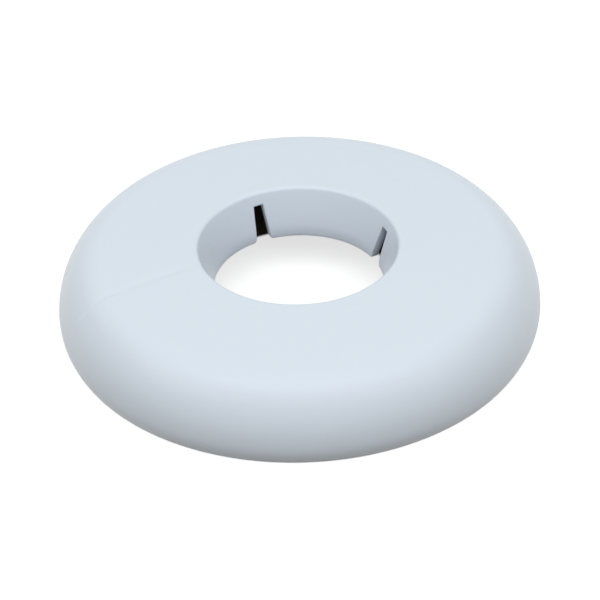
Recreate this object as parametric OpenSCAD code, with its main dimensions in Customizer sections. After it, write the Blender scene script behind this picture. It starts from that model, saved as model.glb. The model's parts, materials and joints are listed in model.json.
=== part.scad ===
// Pipe rosette: a domed ring that covers the hole where a pipe leaves a wall or a floor.
// One moulding in plastic. The domed wall is hollow behind, and a tapered sleeve hangs from the
// crown round the bore. Slots part the sleeve into tongues that spring out and grip the pipe.
// Origin: centre of the ring that touches the wall, +Z out of the wall along the pipe.

/* [Dome] */
// Outside diameter at the widest line
dome_d = 55; // [44:0.5:90]
// Height from the wall to the top of the lip
dome_h = 10; // [9:0.1:14]
// Fall of the crown from the lip outwards, in degrees
crown_fall = 4; // [1:0.5:7]
// Radius of the shoulder, between the crown and the flank
shoulder_r = 4.5; // [3.4:0.1:5.4]
// Angle that the flank turns through below the shoulder, in degrees
flank_turn = 43; // [26:1:50]
// Height of the widest line, which is the mould's parting line
widest_h = 2.1; // [1.2:0.1:2.8]
// How far the outline tucks in from the widest line to the wall
tuck_in = 0.64; // [0.3:0.02:1.2]

/* [Dome wall] */
// Thickness of the dome
wall_t = 1.3; // [1:0.05:1.7]
// Width of the flat ring that touches the wall
base_land_w = 1.04; // [0.7:0.02:1.6]

/* [Pipe sleeve] */
// Bore diameter just below the rounded lip
bore_d = 22.5; // [20.4:0.1:26]
// Rounding radius of the lip
lip_r = 0.5; // [0.4:0.05:1.1]
// Bore diameter at the tongue tips, which grip the pipe
grip_d = 19.4; // [17:0.1:21]
// Length of the straight grip at the tongue tips
grip_l = 0.8; // [0.6:0.1:1.6]
// Height of the tongue tips above the wall
tip_h = 4.3; // [3:0.1:5.4]
// Thickness of a tongue at its tip
tongue_t = 0.8; // [0.6:0.05:1.1]
// Thickness of the sleeve at its root under the crown
root_t = 1.05; // [0.8:0.05:1.5]
// Fillet radius between the sleeve and the underside of the crown
root_fillet_r = 0.6; // [0.3:0.05:1]

/* [Slots] */
// Number of slots, and so of tongues
slot_count = 4; // [2:1:8]
// Width of a slot at its closed end
slot_root_w = 1.15; // [0.8:0.05:2]
// Width of a slot at the tongue tips
slot_tip_w = 1.8; // [1:0.05:3]
// Sleeve left above a slot, below the underside of the crown
slot_web = 0.2; // [0.1:0.05:0.8]
// Corner radius of a tongue beside the slot
tongue_corner_r = 0.4; // [0.2:0.05:0.8]

/* [Hidden] */
$fn = 144;

// Largest angle between two points on an arc of the section, in degrees
arc_step = 6;
// How far a cutter runs past the face it opens
past = 1;

dome_r = dome_d / 2;
bore_r = bore_d / 2;
grip_r = grip_d / 2;
grip_top = tip_h + grip_l;

// Point at an angle on the circle about c
function on_circle(c, r, angle) = c + r * [cos(angle), sin(angle)];

// Points of the arc about c that leads from p, which is left out, to q
function arc(c, p, q) =
    let(a = p - c, b = q - c)
    let(start = atan2(a.y, a.x), turn = atan2(cross(a, b), a * b))
    let(steps = ceil(abs(turn) / arc_step))
    [for (i = [1 : steps]) on_circle(c, norm(a), start + turn * i / steps)];

// First tangent point, centre and second tangent point of a fillet in a corner
function unit(v) = v / norm(v);
function fillet(corner, before, after, r) =
    let(a = unit(before - corner), b = unit(after - corner))
    let(half = acos(a * b) / 2)
    [corner + a * r / tan(half), corner + unit(a + b) * r / sin(half), corner + b * r / tan(half)];

// The bore opens upwards as a cone, from the grip to the lip
bore_taper = atan((bore_r - grip_r) / (dome_h - lip_r - grip_top));
function bore_at(z) = grip_r + (z - grip_top) * tan(bore_taper);

// The lip is one arc from the crown round to the bore's cone
lip_c = [bore_r + lip_r / cos(bore_taper), dome_h - lip_r];
lip_head = on_circle(lip_c, lip_r, 90 - crown_fall);
lip_foot = on_circle(lip_c, lip_r, 180 - bore_taper);

// Height of the crown at a radius, or of the surface that lies deeper by inset
function crown_z(r, inset = 0) =
    lip_c.y + (lip_r - inset) / cos(crown_fall) - (r - lip_c.x) * tan(crown_fall);

// The flank's radius is the one that brings the shoulder up to the crown
shoulder_rise = crown_z(dome_r - shoulder_r * cos(flank_turn), shoulder_r)
    - widest_h + shoulder_r * sin(flank_turn);
flank_r = shoulder_rise / (sin(flank_turn) - (1 - cos(flank_turn)) * tan(crown_fall));
flank_c = [dome_r - flank_r, widest_h];
flank_foot = [dome_r, widest_h];
flank_head = on_circle(flank_c, flank_r, flank_turn);
shoulder_c = on_circle(flank_c, flank_r - shoulder_r, flank_turn);
shoulder_head = on_circle(shoulder_c, shoulder_r, 90 - crown_fall);

// The tuck is one arc from the wall up to the widest line
tuck_r = (widest_h * widest_h + tuck_in * tuck_in) / (2 * tuck_in);
tuck_c = [dome_r - tuck_r, widest_h];
land_out = [dome_r - tuck_in, 0];

// The rim is straight inside, so that it leaves the mould
land_in = [dome_r - max(wall_t, tuck_in + base_land_w), 0];

// The hollow follows the dome at the thickness of the wall
under_flank_r = flank_r - wall_t;
under_foot = [land_in.x, widest_h + sqrt(pow(under_flank_r, 2) - pow(land_in.x - flank_c.x, 2))];
under_head = on_circle(flank_c, under_flank_r, flank_turn);
under_crown = on_circle(shoulder_c, shoulder_r - wall_t, 90 - crown_fall);

// Outside of the sleeve, from a tongue's tip to the fillet under the crown
root_z = crown_z(lip_c.x, wall_t);
sleeve_tip = [grip_r + tongue_t, tip_h];
sleeve_root_r = bore_at(root_z) + root_t;
root = fillet([sleeve_root_r, crown_z(sleeve_root_r, wall_t)], sleeve_tip, under_crown, root_fillet_r);

// Half section of the moulding, once round from the land that touches the wall
module section() {
    polygon(concat(
        [land_in, land_out],
        arc(tuck_c, land_out, flank_foot),
        arc(flank_c, flank_foot, flank_head),
        arc(shoulder_c, flank_head, shoulder_head),
        [lip_head],
        arc(lip_c, lip_head, lip_foot),
        [[grip_r, grip_top], [grip_r, tip_h], sleeve_tip, root[0]],
        arc(root[1], root[0], root[2]),
        [under_crown],
        arc(shoulder_c, under_crown, under_head),
        arc(flank_c, under_head, under_foot)
    ));
}

// One side of a slot, with the rounded corner of the tongue beside it
module slot_side() {
    head = [slot_root_w / 2, root_z - slot_web];
    mouth = [slot_tip_w / 2, tip_h];
    corner = fillet(mouth, head, mouth + [past, 0], tongue_corner_r);
    polygon(concat(
        [[0, tip_h - past], [0, head.y], head, corner[0]],
        arc(corner[1], corner[0], corner[2]),
        [[corner[2].x, tip_h - past]]
    ));
}

// One slot, cut outwards through the sleeve along +X
module slot() {
    inside = grip_r - past;
    outside = root[2].x + slot_web;
    translate([inside, 0, 0])
        rotate([90, 0, 90])
            linear_extrude(outside - inside) {
                slot_side();
                mirror([1, 0]) slot_side();
            }
}

module rosette() {
    color([0.86, 0.9, 0.94])
        difference() {
            rotate_extrude() section();
            for (i = [0 : slot_count - 1]) {
                rotate(i * 360 / slot_count) slot();
            }
        }
}

rosette();
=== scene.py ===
# %% [markdown]
# # A pipe rosette in white plastic
#
# A pipe rosette is the domed ring that hides the rough hole where a heating pipe leaves a wall
# or a floor. It is one moulding: a hollow dome, and in its bore a tapered sleeve that four slots
# part into springy tongues. This lesson models it for a close view, in metres, round a solid
# model that is already right in size.
#
# The first cell loads that solid model. Everything later is measured from it, so nothing has to
# be fitted by eye.

# %% Load the solid model
import json
import math

import bmesh
import bpy
import numpy as np
from mathutils import Matrix, Vector


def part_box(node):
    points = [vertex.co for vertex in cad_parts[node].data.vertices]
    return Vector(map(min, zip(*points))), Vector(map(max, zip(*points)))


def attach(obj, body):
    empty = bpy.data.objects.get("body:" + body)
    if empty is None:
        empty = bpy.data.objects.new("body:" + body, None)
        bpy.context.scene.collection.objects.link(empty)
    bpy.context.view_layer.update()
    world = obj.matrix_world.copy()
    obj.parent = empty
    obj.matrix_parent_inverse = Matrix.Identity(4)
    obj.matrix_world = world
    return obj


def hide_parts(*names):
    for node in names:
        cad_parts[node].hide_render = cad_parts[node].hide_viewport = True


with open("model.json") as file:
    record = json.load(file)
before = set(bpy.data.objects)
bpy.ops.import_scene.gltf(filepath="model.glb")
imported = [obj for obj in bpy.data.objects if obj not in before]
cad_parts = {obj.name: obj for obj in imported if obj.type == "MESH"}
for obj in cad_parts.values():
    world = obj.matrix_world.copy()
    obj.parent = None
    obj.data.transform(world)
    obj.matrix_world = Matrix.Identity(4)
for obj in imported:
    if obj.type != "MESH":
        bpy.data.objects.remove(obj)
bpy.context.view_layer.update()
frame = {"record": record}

# %% [markdown]
# ## The sizes
#
# The outside comes from the solid's own box, and the grip and the ring that touches the wall come
# from its two mounts. The rest are the sizes that a mould maker would mark on the drawing of the
# half section. They could be read off the solid's mesh, but a named size is easier to follow and
# to change.

# %% Sizes of the section
mm = 0.001
low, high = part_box("rosette")
mounts = {mount["name"]: mount for mount in frame["record"]["mounts"]}
grip = mounts["pipe_grip"]

dome_r = high[0]
dome_h = high[2]
grip_r = grip["dims"]["r_mm"] * mm
grip_half = grip["dims"]["length_mm"] * mm / 2
tip_h = grip["pos_m"][2] - grip_half
grip_top = grip["pos_m"][2] + grip_half

crown_fall = math.radians(4)
shoulder_r = 4.5 * mm
flank_turn = math.radians(43)
widest_h = 2.1 * mm
tuck_in = 0.64 * mm
wall_t = 1.3 * mm
bore_r = 11.25 * mm
lip_r = 0.5 * mm
tongue_t = 0.8 * mm
root_t = 1.05 * mm
root_fillet_r = 0.6 * mm
print(f"dome {2 * dome_r / mm:.1f} mm wide and {dome_h / mm:.1f} mm high, grip {2 * grip_r / mm:.1f} mm")

# %% [markdown]
# ## The half section
#
# Every round stretch of the rosette is an arc that runs smoothly into its neighbours, because a
# toolmaker turns the mould on a lathe. So the section is worked out as a compass drawing: centres
# first, then arcs between tangent points. Bezier handles set by eye would be quicker, and they
# would leave flats and bumps that show as soon as light grazes the crown.
#
# A point here is a pair, the distance from the axis and the height.


# %% Points on lines and arcs
def on_circle(centre, radius, angle):
    return np.array(centre) + radius * np.array([math.cos(angle), math.sin(angle)])


def arc(centre, start, end, steps):
    """Points from start to end round the centre, the short way, both ends included."""
    a, b = np.array(start) - centre, np.array(end) - centre
    turn = math.atan2(a[0] * b[1] - a[1] * b[0], a @ b)
    first = math.atan2(a[1], a[0])
    return [on_circle(centre, np.hypot(*a), first + turn * i / steps) for i in range(steps + 1)]


def line(start, end, steps):
    return [np.array(start) + (np.array(end) - start) * i / steps for i in range(steps + 1)]


def fillet(corner, before, after, radius):
    """Tangent point, centre and tangent point of an arc that rounds a corner."""
    a = (np.array(before) - corner) / np.hypot(*(np.array(before) - corner))
    b = (np.array(after) - corner) / np.hypot(*(np.array(after) - corner))
    half = math.acos(a @ b) / 2
    middle = (a + b) / np.hypot(*(a + b))
    reach = radius / math.tan(half)
    return corner + a * reach, corner + middle * radius / math.sin(half), corner + b * reach


# %% Centres and tangent points of the dome
bore_taper = math.atan((bore_r - grip_r) / (dome_h - lip_r - grip_top))
lip_c = np.array([bore_r + lip_r / math.cos(bore_taper), dome_h - lip_r])
lip_head = on_circle(lip_c, lip_r, math.pi / 2 - crown_fall)
lip_foot = on_circle(lip_c, lip_r, math.pi - bore_taper)


def crown_z(r, inset=0):
    """Height of the crown at a distance from the axis, or of the surface inset below it."""
    return lip_c[1] + (lip_r - inset) / math.cos(crown_fall) - (r - lip_c[0]) * math.tan(crown_fall)


shoulder_rise = (
    crown_z(dome_r - shoulder_r * math.cos(flank_turn), shoulder_r)
    - widest_h + shoulder_r * math.sin(flank_turn)
)
flank_r = shoulder_rise / (math.sin(flank_turn) - (1 - math.cos(flank_turn)) * math.tan(crown_fall))
flank_c = np.array([dome_r - flank_r, widest_h])
flank_foot = np.array([dome_r, widest_h])
flank_head = on_circle(flank_c, flank_r, flank_turn)
shoulder_c = on_circle(flank_c, flank_r - shoulder_r, flank_turn)
shoulder_head = on_circle(shoulder_c, shoulder_r, math.pi / 2 - crown_fall)
tuck_r = (widest_h**2 + tuck_in**2) / (2 * tuck_in)
tuck_c = np.array([dome_r - tuck_r, widest_h])
land_out = np.array([dome_r - tuck_in, 0])
land_in = np.array([2 * mounts["wall_face"]["pos_m"][0] - land_out[0], 0])
print(f"flank radius {flank_r / mm:.2f} mm, bore taper {math.degrees(bore_taper):.1f} degrees")

# %% Tangent points of the hollow and the sleeve
under_flank_r = flank_r - wall_t
under_foot_rise = math.sqrt(under_flank_r**2 - (land_in[0] - flank_c[0]) ** 2)
under_foot = np.array([land_in[0], widest_h + under_foot_rise])
under_head = on_circle(flank_c, under_flank_r, flank_turn)
under_crown = on_circle(shoulder_c, shoulder_r - wall_t, math.pi / 2 - crown_fall)

root_z = crown_z(lip_c[0], wall_t)
sleeve_root_r = grip_r + (root_z - grip_top) * math.tan(bore_taper) + root_t
sleeve_tip = np.array([grip_r + tongue_t, tip_h])
root_corner = np.array([sleeve_root_r, crown_z(sleeve_root_r, wall_t)])
root_low, root_c, root_high = fillet(root_corner, sleeve_tip, under_crown, root_fillet_r)

# %% [markdown]
# ## The two faces of the sleeve
#
# A tongue is the strip of sleeve between two slots. Its two faces are known by their distance
# from the axis at each height. The inside is a cone that ends in the short straight grip, and
# where they meet a real tongue is never sharp, so a wide arc blends them.


# %% Distance of each face from the axis
grip_blend_r = 4 * mm
blend_reach = grip_blend_r * math.tan(bore_taper / 2)


def inside_r(z):
    """Inner face of the sleeve, with the blend between the straight grip and the cone."""
    cone = grip_r + np.maximum(z - grip_top, 0) * math.tan(bore_taper)
    into = np.clip(z - (grip_top - blend_reach), 0, None)
    blend = grip_r + grip_blend_r - np.sqrt(np.maximum(grip_blend_r**2 - into**2, 0))
    blend_end = grip_top + blend_reach * math.cos(bore_taper)
    return np.where(z < blend_end, blend, cone)


def outside_r(z):
    """Outer face of the sleeve, with the fillet under the crown."""
    slope = (root_low[0] - sleeve_tip[0]) / (root_low[1] - sleeve_tip[1])
    cone = sleeve_tip[0] + (z - tip_h) * slope
    drop = np.clip(z - root_c[1], -root_fillet_r, root_fillet_r)
    curve = root_c[0] - np.sqrt(np.maximum(root_fillet_r**2 - drop**2, 0))
    return np.where(z > root_low[1], curve, cone)


for height in (tip_h, grip_top, root_low[1]):
    print(f"sleeve at {height / mm:.2f} mm: {inside_r(height) / mm:.2f} to {outside_r(height) / mm:.2f} mm")

# %% [markdown]
# ## The slots, and where the columns of the mesh go
#
# The slots could be cut by a Boolean modifier. That leaves long thin faces round each cut, and
# they catch the light as streaks on a smooth surface. Here the mesh is a lattice of rows and
# columns round the axis instead, and its columns bend to run along the slots, so that every face
# stays a tidy four-sided one and the slot is simply a place with no faces.
#
# One quarter runs from the middle of a slot to the middle of the next. Its columns are counted
# as those over half a slot, those that turn the tongue's rounded corner, those of the tongue, and
# the same again backwards.

# %% Slot and tongue outline
slot_count = 4
slot_root_half = 1.15 / 2 * mm
slot_tip_half = 1.8 / 2 * mm
slot_head_z = root_z - 0.2 * mm
corner_r = 0.4 * mm
edge_r = 0.13 * mm

slot_columns = 4
corner_columns = 5
quarter_columns = 120
tongue_rows = 16

slot_spread = (slot_tip_half - slot_root_half) / (slot_head_z - tip_h)
slant = math.hypot(1, slot_spread)
corner_z = tip_h + corner_r
corner_y = slot_root_half + slot_spread * (slot_head_z - corner_z) + corner_r * slant
corner_angles = np.linspace(math.pi + math.atan(slot_spread), 1.5 * math.pi, corner_columns + 1)


def slot_edge_y(z, soft):
    """Distance of the slot's side from its middle plane, set back by soft."""
    return slot_root_half + slot_spread * (slot_head_z - z) + soft * slant


def tongue_columns(z, r, soft, end_soft):
    """Angles of a tongue's columns, from slot to slot, at a height and a distance from the axis."""
    y = corner_y + (corner_r - end_soft) * np.cos(corner_angles)
    y_z = corner_z + (corner_r - end_soft) * np.sin(corner_angles)
    beside = slot_edge_y(z[: corner_columns + 1], soft) + y - slot_edge_y(y_z, end_soft)
    near = np.arcsin(beside / r[: corner_columns + 1])
    far = math.tau / slot_count - near[::-1]
    middle = np.linspace(near[-1], far[0], quarter_columns - 2 * (slot_columns + corner_columns) + 1)
    return np.concatenate([near, middle[1:-1], far])


def tongue_floor(end_soft):
    """Height of the tongue's lower edge at each column, with its rounded corners."""
    rise = corner_z + (corner_r - end_soft) * np.sin(corner_angles)
    flat = np.full(quarter_columns - 2 * (slot_columns + corner_columns) - 1, tip_h + end_soft)
    return np.concatenate([rise, flat, rise[::-1]])


print(f"slot sides lean {math.degrees(math.atan(slot_spread)):.1f} degrees")

# %% [markdown]
# ## The tongues
#
# A tongue is drawn as layers. The first layer is its inner face, the last its outer face, and
# those between them walk round its edge. Each layer is the same outline, set back a little less
# and pushed a little deeper, and the two amounts follow a quarter circle. That rounds the edges
# by an eighth of a millimetre, as every moulded edge is. A Bevel modifier could do it, but it
# needs faces wider than the rounding on both sides, and the corners here have none.


# %% Points of one layer of a tongue
row_steps = np.linspace(0, 1, tongue_rows + 1) ** 1.15


def tongue_layer(face_r, soft, depth):
    """Rows of points on a face; soft and depth hold one value for each row."""
    floor = tongue_floor(soft[-1])
    rows = []
    for step, row_soft, row_depth in zip(row_steps, soft, depth):
        top = slot_head_z + soft[0]
        z = top + (floor - top) * step
        r = face_r(z) + row_depth
        angle = tongue_columns(z, r, row_soft, soft[-1])
        rows.append(np.stack([r, angle, z], axis=1))
    return np.array(rows)


def slot_ceiling(face_r, soft, depth):
    """Points over half a slot, from its middle to its side, at the slot's closed end."""
    z = slot_head_z + soft[0]
    r = face_r(z) + depth[0]
    y = np.linspace(0, float(slot_edge_y(slot_head_z, soft[0])), slot_columns + 1)
    return np.stack([np.full_like(y, r), np.arcsin(y / r), np.full_like(y, z)], axis=1)


def edge_of(layer, ceiling):
    """The way round a layer: half a slot, down one side, along the tip, up, half a slot."""
    far_ceiling = ceiling[::-1].copy()
    far_ceiling[:, 1] = math.tau / slot_count - far_ceiling[:, 1]
    down = layer[:, 0]
    along = layer[-1, 1:-1]
    up = layer[::-1, -1]
    return np.concatenate([ceiling[:-1], down, along, up, far_ceiling[1:]])


# %% Layers from the inner face to the outer one
rounding_steps = 3
rounding = np.linspace(0, math.pi / 2, rounding_steps + 1)
every_row = np.ones(tongue_rows + 1)
outer_rounding = np.clip(row_steps / row_steps[3], 0, 1)

edges = []
for angle in rounding:
    soft = edge_r * (1 - math.sin(angle)) * every_row
    depth = edge_r * (1 - math.cos(angle)) * every_row
    layer = tongue_layer(inside_r, soft, depth)
    edges.append(edge_of(layer, slot_ceiling(inside_r, soft, depth)))
    if angle == 0:
        inner_face = layer
for angle in rounding[::-1]:
    soft = edge_r * (1 - math.sin(angle)) * outer_rounding
    depth = -edge_r * (1 - math.cos(angle)) * outer_rounding
    layer = tongue_layer(outside_r, soft, depth)
    edges.append(edge_of(layer, slot_ceiling(outside_r, soft, depth)))
    if angle == 0:
        outer_face = layer
edge_strip = np.array(edges)
print("tongue face", inner_face.shape, "edge strip", edge_strip.shape)

# %% [markdown]
# ## The weld line
#
# Molten plastic flows both ways round the bore and meets on the far side. Where the two fronts
# meet, a faint valley stays in the crown, and on this rosette it runs from the lip out over the
# shoulder. It is too fine for the solid model, and a bump map would vanish at the outline, so it
# is pressed into the mesh. The columns of the dome are drawn closer together there first.

# %% Where the columns of the dome stand
weld_angle = math.radians(176)
weld_crowd = 3.2
weld_crowd_width = math.radians(6)

columns = slot_count * quarter_columns
turn = np.linspace(0, math.tau, 3601)
crowding = 1 + weld_crowd * np.exp(-(((turn - weld_angle) / weld_crowd_width) ** 2))
passed = np.concatenate([[0], np.cumsum((crowding[1:] + crowding[:-1]) / 2)])
dome_angles = np.interp(np.arange(columns) / columns * passed[-1], passed, turn)
dome_spacing = np.degrees(np.diff(dome_angles))
print(f"dome columns stand {dome_spacing.min():.2f} to {dome_spacing.max():.2f} degrees apart")

# %% [markdown]
# ## The dome
#
# The dome is turned from its half section as on a lathe. A Screw or Spin would do the turning,
# but the rows next to the slots have to meet the tongues' bent columns point for point. So each
# row says how far its columns have moved from the tongues' places, 0, to the dome's own, 1.


# %% Rows of the dome, from the bore over the top and round to the underside
def smooth_rise(x):
    x = np.clip(x, 0, 1)
    return x * x * (3 - 2 * x)


brow = np.array([float(inside_r(slot_head_z + edge_r)), slot_head_z + edge_r])
web_end = np.array([float(outside_r(slot_head_z)), slot_head_z])
edge_out = fillet(land_out, on_circle(tuck_c, tuck_r, -math.atan2(widest_h, tuck_r - tuck_in) * 0.9),
                  land_in, edge_r)
edge_in = fillet(land_in, land_out, under_foot, edge_r)
tuck_foot = on_circle(tuck_c, tuck_r, math.atan2(edge_out[0][1] - tuck_c[1], edge_out[0][0] - tuck_c[0]))

runs = [
    line(brow, lip_foot, 4),
    arc(lip_c, lip_foot, lip_head, 9),
    line(lip_head, shoulder_head, 22),
    arc(shoulder_c, shoulder_head, flank_head, 12),
    arc(flank_c, flank_head, flank_foot, 16),
    arc(tuck_c, flank_foot, tuck_foot, 6),
    arc(edge_out[1], edge_out[0], edge_out[2], 4),
    arc(edge_in[1], edge_in[0], edge_in[2], 4),
    line(edge_in[2], under_foot, 4),
    arc(flank_c, under_foot, under_head, 8),
    arc(shoulder_c, under_head, under_crown, 8),
    line(under_crown, root_high, 14),
    arc(root_c, root_high, web_end, 5),
]
section = [runs[0][0]]
for run in runs:
    start = run[0] if np.hypot(*(run[0] - section[-1])) > 0.001 * mm else None
    section += run if start is not None else run[1:]
section = np.array(section)
even_from, even_to = 13 * mm, 21 * mm
evenness = smooth_rise((section[:, 0] - even_from) / (even_to - even_from))
print(len(section), "rows in the dome's section")

# %% [markdown]
# The first and the last row of the dome are the tongues' own columns, with those over each slot
# between them. Counted from the middle of a slot, they are the same in every quarter.


# %% Columns beside the slots
def all_round(quarter):
    """Angles of a whole row from those of one quarter, whose last point starts the next."""
    return np.concatenate([quarter[:-1] + k * math.tau / slot_count for k in range(slot_count)])


def quarter_row(face, ceiling):
    far = math.tau / slot_count - ceiling[::-1, 1]
    return np.concatenate([ceiling[:-1, 1], face[0, :, 1], far[1:]])


no_depth = 0 * every_row
bore_angles = all_round(quarter_row(inner_face, slot_ceiling(inside_r, edge_r * every_row, no_depth)))
root_angles = all_round(quarter_row(outer_face, slot_ceiling(outside_r, no_depth, no_depth)))
top_row = int(np.argmax(section[:, 0]))
sleeve_angles = [bore_angles if i < top_row else root_angles for i in range(len(section))]
dome_rows = np.array([
    np.stack([np.full(columns, r), (1 - even) * beside + even * dome_angles, np.full(columns, z)], axis=1)
    for (r, z), even, beside in zip(section, evenness, sleeve_angles)
])
print("dome lattice", dome_rows.shape)

# %% [markdown]
# ## Sewing the patches together
#
# Each patch is a lattice of points as distance, angle and height. Turned into x, y and z, its
# neighbours become four-sided faces. Patches that meet share places but not points, so the last
# step joins points that coincide. It is simpler than keeping one long list of shared points, and
# a leftover open edge would show at once in the count that is printed.


# %% From patches to one closed mesh
def to_xyz(points, turn_by=0.0):
    r, angle, z = points[..., 0], points[..., 1] + turn_by, points[..., 2]
    return np.stack([r * np.cos(angle), r * np.sin(angle), z], axis=-1)


def add_patch(mesh, lattice, closed=False):
    rows, across = lattice.shape[:2]
    points = [[mesh.verts.new(p) for p in row] for row in lattice]
    for i in range(rows - 1):
        for j in range(across if closed else across - 1):
            k = (j + 1) % across
            mesh.faces.new((points[i][j], points[i][k], points[i + 1][k], points[i + 1][j]))


shell = bmesh.new()
add_patch(shell, to_xyz(dome_rows), closed=True)
for k in range(slot_count):
    for patch in (inner_face, outer_face, edge_strip):
        add_patch(shell, to_xyz(patch, k * math.tau / slot_count))
bmesh.ops.remove_doubles(shell, verts=shell.verts, dist=0.0005 * mm)
bmesh.ops.recalc_face_normals(shell, faces=shell.faces)
open_edges = sum(1 for edge in shell.edges if not edge.is_manifold)
print(len(shell.faces), "faces,", open_edges, "open edges, volume", shell.calc_volume() / mm**3, "mm3")

# %% [markdown]
# Now the weld line. Its valley is steep on one side and gentle on the other, and it fades out
# before the lip and before the rim. Points of the outer surface near it move straight into the
# plastic, along their own normals.

# %% Press the weld line in
weld_y = 1.43 * mm
weld_straight_to = 24 * mm
weld_bend = 0.19 / mm
weld_depth = 0.085 * mm
weld_gentle = 1.1 * mm
weld_steep = 0.5 * mm
weld_from, weld_to = 12.2 * mm, 26.6 * mm
weld_fade = 1.2 * mm


def weld_middle(r):
    """Sideways place of the valley at a distance from the axis."""
    return weld_y + weld_bend * np.maximum(r - weld_straight_to, 0) ** 2


def weld_shape(across):
    """Depth over the valley, 1 at the bottom. Across is positive on the gentle side."""
    gentle = 1 - smooth_rise(across / weld_gentle)
    steep = 1 - smooth_rise(-across / weld_steep)
    return np.where(across > 0, gentle, steep)


pressed = 0
weld_mark = shell.verts.layers.float.new("weld_mark")
for point in shell.verts:
    x, y, z = point.co
    r = math.hypot(x, y)
    outer = point.normal.z > -0.1 and z > widest_h and r > lip_c[0]
    if x > 0 or not outer or z < crown_z(r, wall_t / 2) and r < shoulder_c[0]:
        continue
    fade = smooth_rise((r - weld_from) / weld_fade) * smooth_rise((weld_to - r) / weld_fade)
    amount = float(weld_shape(y - weld_middle(r)) * fade)
    if amount > 0:
        point.co -= point.normal * weld_depth * amount
        point[weld_mark] = amount
        pressed += 1
print(pressed, "points pressed in for the weld line")

# %% Make the rosette from the sewn mesh
mesh = bpy.data.meshes.new("rosette_moulding")
shell.to_mesh(mesh)
shell.free()
rosette = bpy.data.objects.new("rosette_moulding", mesh)
bpy.context.collection.objects.link(rosette)
mesh.shade_smooth()
mesh.set_sharp_from_angle(angle=math.radians(40))
print("rosette_moulding:", len(mesh.vertices), "points")

# %% [markdown]
# ## White plastic
#
# Rosettes are moulded in a tough white plastic with a satin skin. Under soft light it is a cool
# white, with highlights that are blurred but still there on tight curves such as the lip. The
# mould was finished by blasting, which leaves a grain so fine that it only breaks the shine up.
#
# A plain colour would look like a drawing. So the colour drifts by a few thousandths of its
# value, the gloss varies a little, and a fine bump gives the grain. All three read object
# coordinates, so they stay with the piece and keep their real size.

# %% Material of the rosette
plastic_colour = (0.70, 0.76, 0.85, 1)
plastic_shade = (0.68, 0.745, 0.84, 1)


def new_material(name):
    material = bpy.data.materials.new(name)
    material.use_nodes = True
    nodes, links = material.node_tree.nodes, material.node_tree.links
    nodes.clear()
    return material, nodes, links


def white_plastic():
    material, nodes, links = new_material("white_plastic")
    out = nodes.new("ShaderNodeOutputMaterial")
    plastic = nodes.new("ShaderNodeBsdfPrincipled")
    place = nodes.new("ShaderNodeTexCoord")
    drift = nodes.new("ShaderNodeTexNoise")
    drift.inputs["Scale"].default_value = 900
    drift.inputs["Detail"].default_value = 3
    tint = nodes.new("ShaderNodeMix")
    tint.data_type = "RGBA"
    tint.inputs[6].default_value = plastic_colour
    tint.inputs[7].default_value = plastic_shade
    gloss = nodes.new("ShaderNodeMapRange")
    gloss.inputs["To Min"].default_value = 0.30
    gloss.inputs["To Max"].default_value = 0.40
    grain = nodes.new("ShaderNodeTexNoise")
    grain.inputs["Scale"].default_value = 5000
    grain.inputs["Detail"].default_value = 2
    bump = nodes.new("ShaderNodeBump")
    bump.inputs["Strength"].default_value = 0.25
    bump.inputs["Distance"].default_value = 0.01 * mm
    plastic.inputs["IOR"].default_value = 1.46
    links.new(place.outputs["Object"], drift.inputs["Vector"])
    links.new(place.outputs["Object"], grain.inputs["Vector"])
    links.new(drift.outputs["Fac"], tint.inputs[0])
    links.new(drift.outputs["Fac"], gloss.inputs["Value"])
    links.new(grain.outputs["Fac"], bump.inputs["Height"])
    links.new(tint.outputs[2], plastic.inputs["Base Color"])
    links.new(gloss.outputs["Result"], plastic.inputs["Roughness"])
    links.new(bump.outputs["Normal"], plastic.inputs["Normal"])
    links.new(plastic.outputs["BSDF"], out.inputs["Surface"])
    return material


mesh.materials.append(white_plastic())
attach(rosette, "root")
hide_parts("rosette")
print("material", mesh.materials[0].name)

# %% [markdown]
# ## The camera
#
# The rosette is seen from a little above, through a long lens, so its outline is almost a true
# ellipse. The camera is placed by what a photographer would note down: which way it faces, how
# far it looks down, how far away it stands, and how much it is tilted. A long lens close up
# would look the same as a short lens far away only at one spot, so the distance matters.

# %% Place the camera
picture_px = 600
sensor_width = 36
lens = 180
heading = math.radians(24)
look_down = math.radians(36.1535)
tilt = math.radians(-1.7147)
distance = 344.9 * mm
aim_px = Vector((0.02, 14.7))

ahead = Vector((
    math.sin(heading) * math.cos(look_down),
    math.cos(heading) * math.cos(look_down),
    -math.sin(look_down),
))
level = Vector((math.cos(heading), -math.sin(heading), 0))
upright = level.cross(ahead)
right = level * math.cos(tilt) + upright * math.sin(tilt)
up = upright * math.cos(tilt) - level * math.sin(tilt)
metres_per_px = distance * sensor_width / lens / picture_px

camera_data = bpy.data.cameras.new("camera")
camera_data.sensor_width = sensor_width
camera_data.lens = lens
camera_data.clip_start = 10 * mm
camera = bpy.data.objects.new("camera", camera_data)
bpy.context.collection.objects.link(camera)
camera.matrix_world = Matrix((right, up, -ahead)).transposed().to_4x4()
camera.location = -ahead * distance - right * aim_px.x * metres_per_px + up * aim_px.y * metres_per_px
bpy.context.scene.camera = camera
print("camera at", [round(v, 4) for v in camera.location])

# %% [markdown]
# ## The floor
#
# The rosette lies on a plain white sheet. A sheet that only scatters light would have to be lit
# until the plastic lost its shading, so for rays that come from the camera, or from it by way of a
# gloss, the sheet also glows a little. Scattered light still draws the soft shadow on it.
#
# Under the dome the sheet is painted a dark brown, as painted shade, and the slots are where that shows.
# So the sheet glows outside the rim and in the bore, and between them it doesn't glow and keeps that
# painted shade. The bright patch is the floor that the camera sees between the tongues' tips, so its
# centre lies a little way behind the bore.

# %% Lay the floor
floor_half = 3.0
floor_drop = 0.02 * mm

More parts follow.
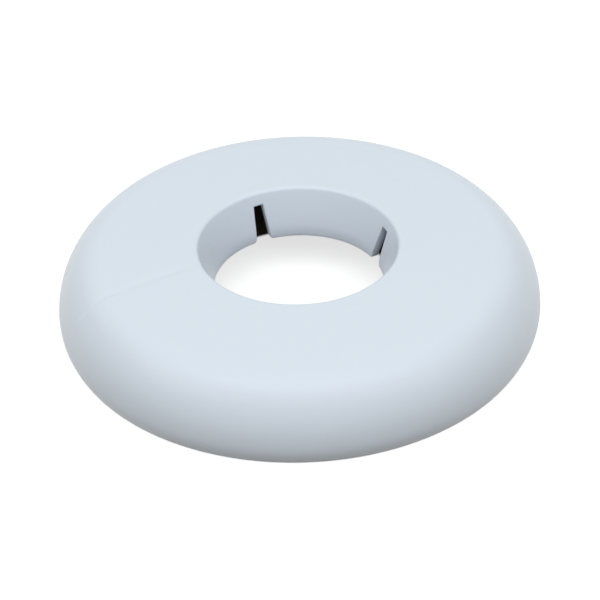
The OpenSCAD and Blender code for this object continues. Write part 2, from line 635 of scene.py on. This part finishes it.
floor_mesh = bpy.data.meshes.new("floor")
floor_mesh.from_pydata(
    [(x * floor_half, y * floor_half, -floor_drop) for x, y in ((-1, -1), (1, -1), (1, 1), (-1, 1))],
    [], [(0, 1, 2, 3)],
)
floor = bpy.data.objects.new("floor", floor_mesh)
bpy.context.collection.objects.link(floor)

patch_margin = 0.85 * mm
patch_blur = 0.5 * mm
sight_reach = camera.location.z / (camera.location.z - tip_h)
patch_centre = Vector((camera.location.x, camera.location.y, 0)) * (1 - sight_reach)
patch_r = grip_r * sight_reach + patch_margin
print("bright patch centre, mm:", [round(v / mm, 2) for v in patch_centre], "radius", round(patch_r / mm, 2))


# %% Where the sheet glows
def node(nodes, kind, **values):
    """A new node, with the settings and input values that are given by name."""
    made = nodes.new(kind)
    for name, value in values.items():
        if hasattr(made, name):
            setattr(made, name, value)
        else:
            made.inputs[name.replace("_", " ")].default_value = value
    return made


def near_point(nodes, links, place, centre, radius, blur):
    """1 within the radius of a point, and 0 outside it."""
    away = node(nodes, "ShaderNodeVectorMath", operation="DISTANCE")
    away.inputs[1].default_value = centre
    inside = node(nodes, "ShaderNodeMapRange", interpolation_type="SMOOTHSTEP",
                  From_Min=radius, From_Max=radius + blur, To_Min=1.0, To_Max=0.0)
    links.new(place, away.inputs[0])
    links.new(away.outputs["Value"], inside.inputs["Value"])
    return inside.outputs["Result"]


def combine(nodes, links, operation, first, second):
    made = node(nodes, "ShaderNodeMath", operation=operation)
    for socket, value in zip(made.inputs, (first, second)):
        if isinstance(value, (int, float)):
            socket.default_value = value
        else:
            links.new(value, socket)
    return made.outputs[0]


def seen_directly(nodes, links):
    """1 for rays from the camera, or from it by way of a gloss or glass, and 0 for others."""
    path = nodes.new("ShaderNodeLightPath")
    gloss = combine(nodes, links, "MAXIMUM", path.outputs["Is Camera Ray"], path.outputs["Is Glossy Ray"])
    return combine(nodes, links, "MAXIMUM", gloss, path.outputs["Is Transmission Ray"])


# %% The sheet's material
sheet_glow = 0.7
sheet_seen = (0.55, 0.55, 0.55, 1)
sheet_scatter = (0.10, 0.08, 0.06, 1)
# The dark brown below is painted shade on the white sheet under the dome, seen through the slots.
painted_shade_under_dome = (0.16, 0.125, 0.09, 1)


def mix_colour(nodes, links, factor, first, second):
    made = nodes.new("ShaderNodeMix")
    made.data_type = "RGBA"
    links.new(factor, made.inputs[0])
    for socket, value in zip((made.inputs[6], made.inputs[7]), (first, second)):
        if isinstance(value, tuple):
            socket.default_value = value
        else:
            links.new(value, socket)
    return made.outputs[2]


def white_sheet():
    material, nodes, links = new_material("white_sheet")
    out = nodes.new("ShaderNodeOutputMaterial")
    place = nodes.new("ShaderNodeTexCoord").outputs["Object"]
    floor_z = Vector((0, 0, -floor_drop))
    under_rim = near_point(nodes, links, place, floor_z, (land_in[0] + land_out[0]) / 2, 0.1 * mm)
    bore = near_point(nodes, links, place, floor_z, grip_r, patch_blur)
    patch = near_point(nodes, links, place, patch_centre + floor_z, patch_r, patch_blur)
    outside = combine(nodes, links, "SUBTRACT", 1.0, under_rim)
    open_floor = combine(nodes, links, "MAXIMUM", outside, combine(nodes, links, "MAXIMUM", bore, patch))
    direct = seen_directly(nodes, links)
    bright = combine(nodes, links, "MULTIPLY", direct, open_floor)
    sheet = nodes.new("ShaderNodeBsdfDiffuse")
    seen = mix_colour(nodes, links, direct, sheet_scatter, sheet_seen)
    # Where open_floor is 0, under the dome, the sheet doesn't glow and takes the dark brown painted shade.
    links.new(mix_colour(nodes, links, open_floor, painted_shade_under_dome, seen), sheet.inputs["Color"])
    glow = nodes.new("ShaderNodeEmission")
    links.new(combine(nodes, links, "MULTIPLY", bright, sheet_glow), glow.inputs["Strength"])
    both = nodes.new("ShaderNodeAddShader")
    links.new(sheet.outputs["BSDF"], both.inputs[0])
    links.new(glow.outputs["Emission"], both.inputs[1])
    links.new(both.outputs["Shader"], out.inputs["Surface"])
    return material


floor_mesh.materials.append(white_sheet())

# %% [markdown]
# ## The light
#
# Plain white plastic needs soft light, or its curves turn into hard bands. One wide softbox hangs
# above and in front, and a pale surround fills the shadows. The sheet itself throws almost no
# light back up, so the rim darkens towards the floor.

# %% Surround and softbox
fill_strength = 0.6
fill_colour = (0.96, 1.0, 0.92, 1)

surround = bpy.data.worlds.new("surround")
bpy.context.scene.world = surround
surround.use_nodes = True
nodes, links = surround.node_tree.nodes, surround.node_tree.links
nodes.clear()
out = nodes.new("ShaderNodeOutputWorld")
fill = node(nodes, "ShaderNodeBackground", Color=fill_colour, Strength=fill_strength)
white = node(nodes, "ShaderNodeBackground", Color=(1, 1, 1, 1), Strength=1.0)
choose = nodes.new("ShaderNodeMixShader")
links.new(seen_directly(nodes, links), choose.inputs["Fac"])
links.new(fill.outputs["Background"], choose.inputs[1])
links.new(white.outputs["Background"], choose.inputs[2])
links.new(choose.outputs["Shader"], out.inputs["Surface"])


def softbox(name, heading_deg, height_deg, away, width, height, watts, colour):
    """A soft lamp that faces the rosette from a heading, counted from +Y, and a height."""
    side, rise = math.radians(heading_deg), math.radians(height_deg)
    towards = Vector((math.sin(side) * math.cos(rise), math.cos(side) * math.cos(rise), math.sin(rise)))
    lamp_data = bpy.data.lights.new(name, "AREA")
    lamp_data.shape = "RECTANGLE"
    lamp_data.size = width
    lamp_data.size_y = height
    lamp_data.energy = watts
    lamp_data.color = colour
    lamp = bpy.data.objects.new(name, lamp_data)
    lamp.location = towards * away
    lamp.rotation_mode = "QUATERNION"
    lamp.rotation_quaternion = (-towards).to_track_quat("-Z", "Y")
    bpy.context.collection.objects.link(lamp)


softbox("softbox_top", 206, 64, 0.6, 2.4, 0.55, 4.9, (0.94, 0.93, 1.0))
bpy.context.scene.view_settings.view_transform = "Standard"
